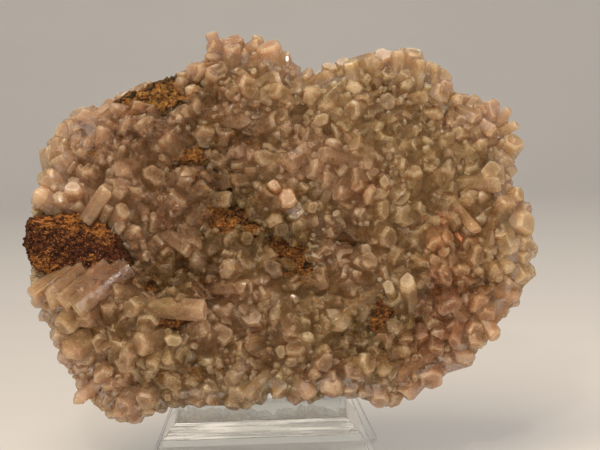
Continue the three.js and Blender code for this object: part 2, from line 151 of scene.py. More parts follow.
# Where the rock shows between the crystals, as [a, b, half width, half height, turn, depth].
BARE_ROCK = [
    (-44, 113.5, 16, 5.6, 20, -5.0), (-31, 92.5, 7.5, 4.6, 30, -2.6), (-20, 70, 7.5, 7, 0, -1.6),
    (3, 58.5, 9, 5.6, -20, -1.0), (-37, 32.5, 7, 3, 5, -1.8), (36, 35, 5, 6.5, 0, -1.4),
    (7, 49.5, 5.6, 3.6, 0, -1.0), (-9, 66, 4, 3, 30, -0.5), (-16.5, 102, 3, 5, 10, 3.5),
    (-19, 79, 3, 3.6, 0, 3.0), (-13, 73, 3.4, 3, 0, 2.0), (25, 63, 4, 2.6, -20, 3.5),
    (-24.6, 44, 3.4, 2.6, 0, 2.0), (-8.5, 26, 3.8, 2.4, 20, 2.0), (26, 28, 4, 2.4, -10, 2.0),
    (52, 33, 5.6, 2.6, -10, 1.5), (-46, 45, 4.6, 2.6, -20, 1.0), (-35.5, 52, 4, 3, 0, 3.5),
    (64.5, 44, 4, 2.6, 20, 3.0),
]
RAGGED = 0.45  # how ragged the edges of these patches are
# The crystals that stand out, as [a, b, width, length, heading, tilt].
LARGE_CRYSTALS = [
    (-77, 50, 8.8, 14, 219, 76), (-70.5, 50.5, 9.2, 16, 224, 74), (-63, 50.5, 9.6, 19, 221, 74),
    (-56, 50.5, 9, 22, 220, 74), (-70, 40, 9, 13, 236, 62), (-67, 28, 9, 13, 222, 58),
    (-61, 41, 8, 13, 226, 68), (-82, 76, 9.5, 9, 150, 42), (-67, 71.5, 7.6, 12, 52, 66),
    (-72, 77, 7.5, 8, 110, 30), (-76, 74.5, 6.5, 7, 130, 40), (-78, 83, 6, 8, 150, 50),
    (-58, 69, 6.6, 7, 50, 42), (-53.5, 64.5, 6, 7, 15, 40), (-62, 70.5, 4.6, 6, 60, 45),
    (-50.5, 57, 5, 6, 350, 45), (-30, 86, 6.8, 8, 200, 40), (-46, 75, 4.8, 11, 0, 78),
    (-42, 65, 6.4, 14, 325, 66), (-43, 38, 8, 18, 355, 74), (-54, 38, 4.6, 7, 180, 25),
    (-61, 26, 9, 6, 240, 18), (-54, 19, 7.2, 7, 260, 15), (-38, 28, 6, 7, 300, 22),
    (-43, 22, 6, 8, 250, 45), (-39, 17, 5.4, 7, 290, 50), (-65, 11, 6.2, 11, 222, 74),
    (-4, 15, 6.6, 13, 228, 70), (9, 23, 5.2, 8, 78, 45), (3, 23, 5, 6, 200, 25), (-7.5, 41, 6.4, 7, 60, 22),
    (-20, 45, 8, 11, 0, 58), (-27, 52, 4.4, 10, 354, 72), (-1, 79, 5.2, 7, 110, 20),
    (2.5, 75, 8, 7, 60, 12), (-1, 71, 6.2, 7, 260, 30), (7, 78.5, 4.4, 6, 50, 35),
    (9.6, 74.5, 4.6, 6, 330, 30), (24, 76.5, 7.8, 6, 240, 14), (33, 78, 7.8, 6, 200, 16),
    (37, 80, 4.6, 8, 80, 14), (41.5, 77, 7, 6, 330, 24), (19, 58, 4, 6, 180, 20), (29, 58, 4.4, 6, 10, 22),
    (23.5, 54, 4.6, 6, 260, 25), (37.5, 64, 6, 6, 280, 18), (48, 80, 7.4, 8, 92, 55),
    (53, 85, 6.4, 6, 80, 30), (55, 80.5, 5, 8, 0, 68), (60, 78, 5.2, 17, 307, 76), (59, 73, 7, 5, 240, 12),
    (55, 68.5, 5, 5, 200, 15), (63.5, 64, 5.4, 6, 300, 25), (67, 60, 5.6, 6, 20, 18),
    (60, 58.5, 5.6, 6, 210, 20), (57.7, 55, 6.2, 8, 270, 58), (64.5, 53.5, 7, 6, 280, 35),
    (70, 53, 5.2, 6, 310, 30), (66, 82, 7.6, 13, 0, 68), (81, 77, 6, 7, 20, 55), (82, 69, 10, 9, 350, 50),
    (82, 59, 6, 9, 330, 55), (78, 56, 5.6, 9, 312, 48), (84, 53, 5, 8, 300, 62), (46, 30, 6, 8, 250, 58),
    (44, 31, 5.6, 7, 285, 50), (52.5, 36, 5.6, 7, 300, 48), (46.5, 41, 8, 9, 100, 45),
    (40.5, 42, 6, 7, 120, 30), (66, 36, 6.6, 13, 250, 62), (69, 36, 6.4, 13, 275, 64),
    (72, 37, 5.6, 12, 300, 66), (57, 33, 6, 12, 265, 62), (27, 20, 5.6, 8, 285, 58),
    (35, 21, 6, 9, 295, 58), (24, 13.5, 5.2, 10, 190, 72), (35.8, 9, 7.6, 6, 270, 55),
    (-56, 5, 7, 7, 262, 60), (-47, 6, 6.4, 7, 275, 62), (-16, 8, 6.4, 6, 265, 70),
    (-22, 130, 5.6, 8.2, 112, 76), (-16, 129, 8.4, 7, 95, 56), (-9, 130, 4.4, 6.6, 80, 72),
    (-6, 127, 5.8, 10, 4, 76), (-3, 122, 5.2, 8, 225, 62), (-8, 124, 3, 9, 2, 74),
    (1, 115.5, 5.8, 8, 300, 48), (-13, 114, 4.8, 6, 190, 35), (27, 115, 7.6, 6, 80, 12),
    (16.5, 113, 5.2, 6, 140, 22), (16.5, 105.5, 6, 6, 220, 20), (26, 98, 9, 5, 260, 14),
    (43, 121, 6.6, 10, 92, 72), (50, 118, 6.6, 10, 88, 70), (56, 115, 5.4, 11.5, 88, 76),
    (35, 119, 6, 9, 95, 68), (27, 119, 6.4, 8, 102, 66), (79, 101, 3.8, 8, 25, 66),
    (78, 104, 3.6, 8, 48, 66), (79, 97, 3.8, 7, 8, 64),
]


def radius_of(points, middle):
    """The radius of a closed outline round its middle, as a function of the angle."""
    rays = sorted(
        (math.atan2(b - middle[1], a - middle[0]) % math.tau, math.hypot(a - middle[0], b - middle[1]))
        for a, b in points
    )
    angles = np.array([ray[0] for ray in rays])
    radii = np.array([ray[1] for ray in rays])
    return lambda angle: float(np.interp(angle % math.tau, angles, radii, period=math.tau))


outer_radius = radius_of(OUTLINE, MIDDLE)
block_radius = radius_of(BLOCK_OUTLINE, BLOCK_MIDDLE)


def crust_radius(angle):
    return outer_radius(angle) - CRYSTAL_REACH


def rock_radius(angle):
    near = [crust_radius(angle + step) for step in (-0.2, -0.1, 0, 0.1, 0.2)]
    return (min(near) + near[1] + near[2] + near[3]) / 4 - MATRIX_INSET


def outwards(a, b):
    """0 at the middle of the face, 1 at the crust's edge."""
    angle = math.atan2(b - MIDDLE[1], a - MIDDLE[0])
    return math.hypot(a - MIDDLE[0], b - MIDDLE[1]) / crust_radius(angle)


def rim_share(a, b):
    """0 over most of the face, 1 at the crust's edge."""
    return max(0.0, outwards(a, b) - 0.75) / 0.25


def surface(a, b):
    """The crust's d at a place on the face."""
    level = CRUST_LEVEL - RIM_DROP * min(outwards(a, b), 1.1) ** 5
    for at_a, at_b, spread, height in SWELLS:
        level += height * math.exp(-((a - at_a) ** 2 + (b - at_b) ** 2) / spread ** 2)
    return level


def rough(a, b, size, seed=0.0):
    """Fractal noise over the face, about -1 to 1, with features of a size in mm."""
    return noise.fractal(Vector((a / size, b / size, seed)), 1.0, 2.0, 4)


def rock_share(a, b):
    """How far inside a patch of bare rock a place is: 1 at its middle, 0 at its ragged edge."""
    angle = math.atan2(b - BLOCK_MIDDLE[1], a - BLOCK_MIDDLE[0])
    away = math.hypot(a - BLOCK_MIDDLE[0], b - BLOCK_MIDDLE[1])
    share = 1 - away / block_radius(angle)
    nearest = min(patch_reach(patch, a, b) for patch in BARE_ROCK)
    return max(share, 1 - nearest + RAGGED * rough(a, b, 4.5, 2.0))


def patch_reach(patch, a, b):
    """How far out of a patch of rock a place is, in its own half widths."""
    at_a, at_b, wide, high, turn, _ = patch
    along = Vector((math.cos(math.radians(turn)), math.sin(math.radians(turn))))
    off = Vector((a - at_a, b - at_b))
    return math.hypot(off.dot(along) / wide, off.cross(along) / high)


# ------------ node trees
class Value:
    """A socket of a node tree. Sums on it add Math nodes."""

    def __init__(self, graph, socket):
        self.graph = graph
        self.socket = socket

    def maths(self, operation, one, other=0.0):
        return self.graph.node("ShaderNodeMath", {"operation": operation}, {0: one, 1: other})

    def __add__(self, other):
        return self.maths("ADD", self, other)

    __radd__ = __add__

    def __mul__(self, other):
        return self.maths("MULTIPLY", self, other)

    def __sub__(self, other):
        return self.maths("SUBTRACT", self, other)

    def __rsub__(self, other):
        return self.maths("SUBTRACT", other, self)


class Graph:
    """A node tree, with one method that adds any node."""

    def __init__(self, tree):
        self.tree = tree

    def node(self, kind, settings=None, values=None, output=0):
        """Adds a node. A value is a number or a link, or a list of links into one socket."""
        made = self.tree.nodes.new(kind)
        for name, setting in (settings or {}).items():
            setattr(made, name, setting)
        for name, value in (values or {}).items():
            links = value if isinstance(value, list) else [value]
            for link in links:
                if isinstance(link, Value):
                    self.tree.links.new(link.socket, made.inputs[name])
                else:
                    made.inputs[name].default_value = link
        return Value(self, made.outputs[output]) if made.outputs else made

    def output(self, value, name):
        """Another output of the node that a value comes from."""
        return Value(self, value.socket.node.outputs[name])


class Paint(Graph):
    """The node tree of one material."""

    def __init__(self, name):
        self.material = bpy.data.materials.new(name)
        self.material.use_nodes = True
        super().__init__(self.material.node_tree)
        self.tree.nodes.clear()
        self.place = self.output(self.node("ShaderNodeTexCoord"), "Object")

    def noise(self, size, detail=3.0, roughness=0.55, distortion=0.0, at=None):
        """Soft noise, 0 to 1, with features of a size in millimetres."""
        return self.node("ShaderNodeTexNoise", {}, {
            "Vector": at or self.place, "Scale": 1 / (size * MM), "Detail": detail,
            "Roughness": roughness, "Distortion": distortion,
        })

    def ramp(self, value, low, high):
        """The value stretched smoothly so that low gives 0 and high gives 1."""
        return self.node("ShaderNodeMapRange", {"interpolation_type": "SMOOTHSTEP", "clamp": True}, {
            "Value": value, "From Min": low, "From Max": high,
        })

    def mix(self, share, one, other):
        """One colour going over into another."""
        return self.node("ShaderNodeMix", {"data_type": "RGBA"}, {
            0: share, 6: colour(one), 7: colour(other),
        }, output=2)

    def laid_over(self, under, *coats):
        """A colour with others laid over it in turn, each with its share and its colour on the screen."""
        for share, tone in coats:
            under = self.mix(share, under, srgb(*tone))
        return under

    def attribute(self, name):
        return self.output(self.node("ShaderNodeAttribute", {"attribute_name": name}), "Fac")

    def stretched(self, scale, turn=0.0):
        """The place, turned by an angle in degrees about y and then scaled along each axis."""
        return self.node("ShaderNodeMapping", {}, {
            "Vector": self.place, "Rotation": (0, math.radians(turn), 0), "Scale": scale,
        })

    def bump(self, height, strength, distance):
        return self.node("ShaderNodeBump", {}, {
            "Height": height, "Strength": strength, "Distance": distance * MM,
        })

    def principled(self, tone, roughness, values, settings=None):
        return self.node("ShaderNodeBsdfPrincipled", settings, {
            "Base Color": tone, "Roughness": roughness, **values,
        })

    def blend(self, share, one, other):
        """One shader going over into another."""
        return self.node("ShaderNodeMixShader", {}, {0: share, 1: one, 2: other})

    def surface(self, shader):
        self.node("ShaderNodeOutputMaterial", {}, {"Surface": shader})
        return self.material


def colour(value):
    """A colour of three numbers as four; links stay as they are."""
    return value if isinstance(value, Value) else (*value, 1.0)


def srgb(red, green, blue):
    """A colour on the screen's 0 to 255 scale, as linear light."""
    def linear(part):
        part /= 255
        return part / 12.92 if part <= 0.04045 else ((part + 0.055) / 1.055) ** 2.4
    return (linear(red), linear(green), linear(blue))


# ------------ materials
CRYSTAL_LOOKS = ("tint", "stain", "blush", "milk")  # what differs from crystal to crystal
QUARTZ_IOR = 1.54
ACRYLIC_IOR = 1.49
GLOW_DEPTH = 12.0  # how far light goes into the quartz, mm
LINES_ROUND = 16.0  # growth lines round half a crystal
EDGE_FROST = 0.3  # how milky the sawn edges of a plate look


def quartz_paint():
    """Milky quartz: see-through in the middle of its faces, with a painted highlight that makes the tip's
    edges paler.

    Between the crystals the crust is gritty and opaque, and darkest in the stained hollows, where near-black
    painted shade fills the pits."""
    paint = Paint("milky_quartz")
    along, edge, side, bed = (paint.attribute(name) for name in ("along", "edge", "side", "bed"))
    tint, stain, blush, mist = (paint.attribute(name) for name in CRYSTAL_LOOKS)
    zone = paint.ramp(paint.noise(34.0, 2.0), 0.4, 0.62)
    # Partly the crystals' own tan and partly a painted warm cast of the light around them.
    dull = paint.mix(zone, srgb(154, 121, 76), srgb(162, 116, 84))
    pale = paint.mix(zone, srgb(212, 180, 134), srgb(218, 175, 142))
    clouds = paint.ramp(paint.noise(4.0, 3.0, 0.6), 0.42, 0.68)
    # Painted highlight: the tip's edges are made pale where light would catch them, and a little more opaque.
    rim = edge * paint.ramp(along, 0.6, 0.95)
    lines = paint.node("ShaderNodeTexNoise", {"noise_dimensions": "1D"}, {
        "W": side * LINES_ROUND + tint * 57.0, "Scale": 1.0, "Detail": 2.0, "Roughness": 0.6,
    })
    # The crystal's tone (with its painted shade) under milky clouds, two painted highlights on the tip's
    # edges and upper rings, and pale growth lines.
    body = paint.laid_over(
        paint.mix(tint, dull, pale), (clouds * 0.18, (226, 190, 154)), (rim * 0.2, (246, 218, 186)),
        (paint.ramp(edge, 0.8, 0.99) * 0.25, (248, 218, 186)),
        (paint.ramp(lines, 0.5, 0.75) * 0.14, (236, 210, 180)),
    )
    blotched = stain + (paint.noise(7.0, 3.0) - 0.5) * 0.8
    stained = paint.ramp(blotched, 0.25, 0.95)
    body = paint.mix(stained * 0.72, body, paint.mix(zone, srgb(98, 78, 34), srgb(104, 70, 38)))
    # A salmon blush: the crystals' own iron tint, and over the lower fans a painted pink glow of light
    # passing through them.
    body = paint.mix(blush * 0.62, body, srgb(222, 126, 78))
    grit = paint.mix(paint.noise(1.6, 4.0, 0.6), srgb(78, 54, 26), srgb(136, 100, 56))
    dirt = paint.mix(paint.noise(2.4, 4.0, 0.6), srgb(30, 18, 8), srgb(110, 79, 36))
    grit = paint.mix(stained * 0.92, grit, dirt)
    # Near-black painted shade in the deep pits between the crystals, in the stained hollows.
    painted_pit_shade = paint.ramp(paint.noise(3.6, 3.0, 0.6), 0.54, 0.62) * stained
    grit = paint.mix(painted_pit_shade * 0.9, grit, srgb(14, 8, 4))
    rough = 0.08 + paint.ramp(paint.noise(2.2, 2.0), 0.35, 0.75) * 0.25 + stain * 0.1
    milk = 0.1 + rim * 0.2 + clouds * 0.12 + tint * 0.2 + stain * 0.1 + mist * 0.4
    milk = milk + paint.ramp(lines, 0.45, 0.75) * 0.12 + blush * 0.25

    def quartz(tone, roughness, alpha, height):
        return paint.principled(tone, roughness, {
            "IOR": QUARTZ_IOR, "Subsurface Weight": 1.0, "Subsurface Radius": (1.0, 0.72, 0.5),
            "Subsurface Scale": GLOW_DEPTH * MM, "Transmission Weight": 0.3, "Alpha": alpha,
            "Normal": paint.bump(height, 0.22, 0.1),
        }, {"subsurface_method": "RANDOM_WALK"})

    crystal = quartz(body, rough, milk, paint.noise(0.8, 2.0, 0.6) * 0.4 + lines * 0.7)
    between = quartz(grit, 0.25, 1.0, paint.noise(0.9, 3.0, 0.75) * 3.0)
    return paint.surface(paint.blend(bed, crystal, between))


def rock_paint():
    """Limonite: spongy dark brown with ochre dust, streaked, with painted shade in its pits, between its
    mossy tufts and round the bare patches.
    """
    paint = Paint("limonitic_rock")
    ochre = paint.attribute("ochre")
    streaked = paint.stretched((0.65, 1.0, 1.2), 12)
    layers = paint.noise(1.7, 4.0, 0.65, 1.2, at=paint.stretched((0.45, 1.0, 1.5), 20))
    mottled = paint.ramp(paint.noise(1.0, 5.0, 0.75, at=streaked), 0.35, 0.7)
    dark = paint.mix(mottled, srgb(20, 9, 6), srgb(104, 54, 28))
    dusty = paint.mix(paint.ramp(layers, 0.35, 0.68), srgb(90, 48, 18), srgb(188, 126, 64))
    dust = ochre + (paint.noise(1.6, 5.0, 0.8, at=streaked) - 0.5) * 2.0 + (layers - 0.5) * 1.2
    # The mossy crust: ochre tufts, with painted shade between them in dark olive.
    tufts_over_shade = paint.ramp(paint.noise(2.8, 6.0, 0.8), 0.36, 0.62)
    mossy = paint.mix(tufts_over_shade, srgb(50, 37, 15), srgb(180, 132, 64))
    moss = paint.attribute("moss") * paint.ramp(paint.noise(3.0, 4.0, 0.7), 0.38, 0.58)
    # Pits in the spongy rock: sunk by the bump, and filled with near-black painted shade.
    shaded_pits = paint.ramp(paint.noise(2.0, 5.0, 0.75), 0.46, 0.38)
    specks = paint.ramp(paint.noise(0.7, 2.0), 0.64, 0.7)
    body = paint.laid_over(
        paint.mix(moss, paint.mix(paint.ramp(dust, 0.3, 1.0), dark, dusty), mossy),
        (shaded_pits * 0.8, (14, 7, 4)), (specks * 0.6, (216, 162, 110)),
    )
    covered = paint.mix(paint.noise(3.0, 2.0), srgb(74, 54, 26), srgb(118, 88, 48))
    bare = paint.attribute("bare")
    shaded_edge = paint.ramp(bare, 0.1, 0.45) * paint.ramp(bare, 0.98, 0.7)
    body = paint.laid_over(paint.mix(bare, covered, body), (shaded_edge * 0.85, (16, 9, 4)))
    height = paint.noise(0.9, 4.0, 0.75) + paint.noise(2.4, 2.0, at=streaked) + layers - shaded_pits * 0.8
    return paint.surface(paint.principled(body, 0.72 + paint.noise(1.5, 3.0) * 0.25, {
        "Specular IOR Level": 0.2, "Normal": paint.bump(height, 0.9, 0.7),
    }))


def acrylic_paint(name, sawn_front=None):
    """Clear cast acrylic, with a faint haze of handling and paler edges.

    A sawn front edge, whose y is given, is polished by hand and shows lengthwise streaks."""
    paint = Paint(name)
    haze = paint.ramp(paint.noise(18.0, 5.0, 0.6), 0.5, 0.8)
    tone = paint.mix(haze, (0.98, 0.995, 0.99), (0.95, 0.97, 0.965))
    rough = 0.015 + haze * 0.035
    frosted = paint.attribute("rim") * EDGE_FROST
    if sawn_front is not None:
        parts = paint.node("ShaderNodeSeparateXYZ", {}, {0: paint.place})
        front = paint.ramp(paint.output(parts, "Y"), sawn_front + 0.5 * MM, sawn_front + 0.2 * MM)
        streaks = paint.ramp(paint.noise(1.1, 3.0, 0.6, at=paint.stretched((0.03, 1.0, 1.0))), 0.42, 0.62)
        bright = paint.ramp(paint.noise(26.0, 1.0), 0.45, 0.6)
        frosted = frosted * (1 - front) + front * (0.06 + streaks * 0.24 + bright * streaks * 0.25)
        rough = rough + front * (0.1 + streaks * 0.25)
    clear, matt = (
        paint.principled(tone, rough, {"IOR": ACRYLIC_IOR, "Transmission Weight": transmission})
        for transmission in (1.0, 0.0)
    )
    return paint.surface(paint.blend(frosted, clear, matt))


def backdrop_paint():
    paint = Paint("pale_backdrop")
    shade = paint.mix(paint.noise(90.0, 2.0), (0.66, 0.655, 0.64), (0.69, 0.685, 0.67))
    return paint.surface(paint.principled(shade, 0.8, {}))


# ------------ crystals
RATIOS = (0.9, 1.35, 2.0, 2.9)  # lengths of the unit crystals, in widths
# The rings of a crystal's tip from its shoulder up, as [share of the width, drop below the tip].
TIPS = {
    "flat": [(1.0, 0.11), (0.82, 0.0)],
    "low": [(1.0, 0.22), (0.66, 0.07), (0.30, 0.0)],
    "steep": [(1.0, 0.40), (0.52, 0.13), (0.14, 0.0)],
    "chisel": [(1.0, 0.16), (0.74, 0.0)],
}
# How steeply each tip leans to one side.
TIP_SLOPES = {"flat": 0.08, "low": 0.08, "steep": 0.12, "chisel": 0.45}
FOOT = (0.93, 0.0)  # the ring at a crystal's foot
SHOULDER_STEP = 0.10  # how uneven the shoulders of the pointed crystals are
CORNER = 0.10  # share of a side that each softened corner takes
SIDES = 6


def prism_outline(random, corner):
    """The corners of an uneven hexagon, about 1 wide, each softened by a share of its sides."""
    turns = np.arange(SIDES) * math.tau / SIDES + random.uniform(-0.2, 0.2, SIDES)
    reach = 0.5 * random.uniform(0.86, 1.08, SIDES)
    corners = np.stack([np.cos(turns) * reach, np.sin(turns) * reach], axis=1)
    if not corner:
        return corners
    before = corners + corner * (np.roll(corners, 1, axis=0) - corners)
    after = corners + corner * (np.roll(corners, -1, axis=0) - corners)
    return np.stack([before, after], axis=1).reshape(-1, 2)


def crystal_form(name, ratio, tip, number, corner):
    """One unit crystal, 1 wide, standing on the origin along +Z: an uneven hexagonal prism."""
    random = np.random.RandomState(40 + number)
    outline = prism_outline(random, corner)
    slope = TIP_SLOPES[tip] * random.uniform(0.6, 1.2)
    uneven = SHOULDER_STEP if tip in ("low", "steep") else 0.0
    rings = [FOOT] + [(share, ratio - drop) for share, drop in TIPS[tip]]
    count = len(outline)
    points = []
    for level, (share, height) in enumerate(rings):
        for step, (x, y) in enumerate(outline):
            lift = slope * x * share if level else 0.0
            if level == 1:
                lift += uneven * ((step * SIDES // count) % 2 - 0.5)
            points.append((x * share, y * share, height + lift))
    faces = [tuple(reversed(range(count)))]
    for low in range(0, (len(rings) - 1) * count, count):
        for step in range(count):
            after = (step + 1) % count
            faces.append((low + step, low + after, low + count + after, low + count + step))
    top = len(points)
    faces += [(top - count + step, top - count + (step + 1) % count, top) for step in range(count)]
    points.append(tuple(np.mean(points[top - count:], axis=0)))
    mesh = bpy.data.meshes.new(name)
    mesh.from_pydata(points, [], faces)
    store(mesh, "along", [clamped(point[2] / ratio) for point in points])
    # How much painted highlight each ring takes: little at the foot, most on the tip's rings.
    store(mesh, "edge", [0.1] * count + [0.7] * count + [1.0] * (top - 2 * count) + [0.3])
    store(mesh, "side", [abs(2 * step / count - 1) for step in range(count)] * len(rings) + [0.5])
    return bpy.data.objects.new(name, mesh)


def crystal_forms(corner):
    """A collection of unit crystals: every tip for each ratio of length to width."""
    forms = bpy.data.collections.new("crystal_forms")
    bpy.context.scene.collection.children.link(forms)
    for number, ratio in enumerate(RATIOS):
        for kind, tip in enumerate(TIPS):
            index = number * len(TIPS) + kind
            forms.objects.link(crystal_form(f"form_{index:02d}_{tip}", ratio, tip, index, corner))
    return forms


def clear_of_ledge(root, axis, width, length):
    """The length cut back so that the crystal stays above the ledge that the specimen rests on."""
    root = Vector(root)
    axis = Vector(axis)
    dip = 0.5 * width * MM * math.sqrt(max(0.0, 1 - aim(*axis).z ** 2))
    while length > width:
        tip = place(*(root + axis * length))
        over_ledge = ledge_low.x - dip < tip.x < ledge_high.x + dip and tip.y > ledge_low.y - dip
        if not over_ledge or tip.z - dip > ledge_high.z:
            break
        length -= 0.1 * width
    return length


class Seeds:
    """Where the crystals of one crust grow, and how."""

    KINDS = {"axis": "FLOAT_VECTOR", "size": "FLOAT_VECTOR", "form": "INT"}

    def __init__(self):
        self.points = []
        self.values = {name: [] for name in (*self.KINDS, *CRYSTAL_LOOKS)}

    def add(self, root, axis, width, length, tip, flat, looks):
        """A crystal from its root in the crust, with its own numbers for CRYSTAL_LOOKS."""
        length = clear_of_ledge(root, axis, width * max(flat), length)
        ratio = length / width
        number = min(range(len(RATIOS)), key=lambda index: abs(math.log(ratio / RATIOS[index])))
        size = Vector((width * flat[0], width * flat[1], length / RATIOS[number])) * MM
        self.points.append(place(*root))
        row = (aim(*axis), size, number * len(TIPS) + tip, *looks)
        for values, value in zip(self.values.values(), row):
            values.append(value)

    def mesh(self, name):
        made = bpy.data.meshes.new(name)
        made.from_pydata(self.points, [], [])
        for key, values in self.values.items():
            kind = self.KINDS.get(key, "FLOAT")
            attribute = made.attributes.new(key, kind, "POINT")
            if kind == "FLOAT_VECTOR":
                attribute.data.foreach_set("vector", [part for value in values for part in value])
            else:
                attribute.data.foreach_set("value", values)
        return made


class Ground:
    """Keeps crystals from growing in one another's place."""

    def __init__(self, spacing):
        self.spacing = spacing
        self.taken = np.zeros((0, 4))

    def free(self, point, width):
        away = np.linalg.norm(self.taken[:, :3] - np.array(point), axis=1)
        return bool(np.all(away > self.spacing * (self.taken[:, 3] + width) / 2))

    def take(self, rows):
        self.taken = np.vstack([self.taken, rows])


def direction(heading, tilt):
    """A direction off the face from its heading over the face and its tilt from straight out."""
    over = math.sin(math.radians(tilt))
    return Vector((
        math.cos(math.radians(heading)) * over,
        math.sin(math.radians(heading)) * over,
        math.cos(math.radians(tilt)),
    ))


def kept_in(root, axis, width, length):
    """The length cut back so that the tip stays inside the outline."""
    for _ in range(12):
        tip = root + axis * length
        a = tip.x - MIDDLE[0]
        b = tip.y - MIDDLE[1]
        side = 0.42 * width * abs(tip.normalized().z if tip.length else 1)
        if math.hypot(a, b) + side * 0.6 < outer_radius(math.atan2(b, a)) + RIM_SLACK:
            break
        length -= 0.12 * width
    return length


FACE_TRIES = 11000  # places tried on the face
EDGE_TRIES = 3000  # places tried round the edge
GAP_TRIES = 9000  # places tried for the small crystals between
FACE_WIDTHS = (4.2, 6.2)  # the least width on the face and what is added to it at most, mm
EDGE_WIDTHS = (2.8, 4.0)  # the same round the edge
GAP_WIDTHS = (1.5, 3.3)  # the least and greatest width between the others, mm
SPRAYS = 60  # centres that the crystals fan out from
ROOT = 3.0  # how deep a crystal starts in the crust, mm
SPACING = 0.48  # least distance between crystals, in mean widths
GAP_SPACING = 0.56  # the same for the small crystals
RIM_SLACK = 0.6  # how far a tip may pass the outline, mm
TIP_DRAWS = (0, 0, 0, 1, 2, 3, 3)  # the tip that a draw gives: flat ones and chisels are common
PALEST = 0.86  # the greatest tint of a main crystal
# Iron-tinted crystals, as [a, b, spread, strength]. The two faint broad spots over the lower fans, left and
# right, are painted light instead: a pink glow of light passing through those crystals.
BLUSHES = [
    (62, 67, 7.5, 1.0), (60, 57, 9, 0.7), (58, 74, 5, 0.6), (32.8, 78, 5, 0.5), (37.4, 63.7, 4.5, 0.5),
    (49, 25, 6, 0.7), (70, 40, 14, 0.3), (-70, 42, 12, 0.3), (0, 78, 6, 0.5), (-20, 118, 14, 0.15),
]
# Paler and darker clusters, as [a, b, spread, strength]. The paler ones are the crystals' own tone; the
# darker ones are partly their own tone and partly painted shade.
PALE_AND_SHADE = [
    (-84, 75, 7, 0.9), (-74, 75, 7, 0.9), (-64, 71, 7, 1.0), (-56, 64, 5, 0.9), (-43, 24, 8, 0.6),
    (-44, 38, 7, 0.7), (-38, 30, 7, 0.5), (-55, 20, 6, 0.4), (42, 43, 6, 0.7), (18, 41, 6, 0.6),
    (-28, 68, 6, 0.6), (9, 24, 6, 0.5), (48, 41, 5, 0.6), (-1, 79, 5, 0.5), (-10, 128, 10, 0.2),
    (-16, 129, 5, -0.9), (35, 119, 5, -0.8), (1, 115.5, 4, -0.9), (36, 118, 12, 0.15), (20, 100, 14, 0.25),
    (-30, 48, 9, -0.7), (64, 44, 9, -0.6), (54, 25, 10, -0.5), (30, 10, 9, -0.4), (-14, 100, 8, -0.4),
    (-64, 96, 18, -0.35), (-46, 74, 16, -0.4), (64, 27, 18, -0.45), (-66, 40, 12, -0.35),
]
# Iron-stained places, as [a, b, spread, strength].
STAINS = [
    (-47, 112, 13, 0.7), (-31, 92, 11, 0.8), (-14, 100, 9, 0.9), (-22, 76, 13, 0.9), (-13, 70, 12, 0.7),
    (2, 58, 13, 0.9), (-30, 50, 13, 1.0), (-48, 46, 10, 0.8), (-38, 33, 9, 0.6), (8, 47, 9, 0.6),
    (25, 63, 7, 0.6), (34, 35, 9, 0.8), (-8, 26, 8, 0.6), (26, 28, 7, 0.7), (53, 31, 10, 0.8),
    (64, 45, 9, 0.8), (47, 13, 12, 0.5), (16, 7, 10, 0.6), (-42, 7, 9, 0.5), (84, 47, 6, 0.6),
    (56, 62, 6, 0.3), (-66, 92, 9, 0.3), (-44, 84, 12, 0.5), (-44, 68, 12, 0.5), (-47, 56, 9, 0.6),
    (-58, 44, 8, 0.4), (-26, 62, 9, 0.4),
]


def spots(places, a, b):
    """The sum of soft round spots at a place."""
    return sum(
        strength * math.exp(-((a - at_a) ** 2 + (b - at_b) ** 2) / spread ** 2)
        for at_a, at_b, spread, strength in places
    )


def stain_at(a, b):
    return clamped(spots(STAINS, a, b) * (0.9 + 0.7 * rough(a, b, 9.0, 5.0)))


def pale_and_shade_at(a, b):
    """How much paler the crystals are than the others. It holds painted shade too: the darker spots, and a
    darkening towards the foot where less light falls.
    """
    return spots(PALE_AND_SHADE, a, b) + 0.28 * (min(b / MIDDLE[1], 1.4) - 1)


def blush_at(a, b):
    return min(1.0, spots(BLUSHES, a, b))


def widths(random, least, added, tries):
    """Widths to try, more of them slim than thick."""
    return least + added * random.beta(1.6, 2.6, tries)


def add_main(seeds, a, b, root, axis, width, length, draw, stain, milk):
    """A main crystal. Its draw sets the tip, the tint and the blush, and how flat it is."""
    # The tint carries painted shade from the paleness map as well as the crystal's own tone.
    tint = min(PALEST, max(0.0, 0.1 + 0.56 * float(draw[2]) + 0.5 * pale_and_shade_at(a, b)))
    flat = (0.84 + 0.3 * draw[1], 1.14 - 0.42 * draw[1])
    blush = blush_at(a, b) * (0.2 + float(draw[3]))
    tip = TIP_DRAWS[int(draw[0] * len(TIP_DRAWS))]
    seeds.add(root, axis, width, length, tip, flat, (tint, stain, blush, milk))


def grow_large(seeds, ground, random):
    """The crystals that stand out, each in its own place."""
    for a, b, width, length, heading, tilt in LARGE_CRYSTALS:
        axis = direction(heading, tilt)
        over = math.sin(math.radians(tilt))
        lifted = Vector((a, b, surface(a, b) + 0.28 * width * over))
        draw = random.uniform(size=4)
        draw[2] = 0.45 + 0.55 * draw[2]
        add_main(seeds, a, b, lifted - axis * ROOT, axis, width * 1.04, length + ROOT, draw,
                 0.15 * stain_at(a, b), 0.35 + 0.6 * rim_share(a, b))
        lying = np.arange(0.0, length * over + 0.1, 2.5)
        ground.take([(*(lifted + axis * float(share)), width) for share in lying])


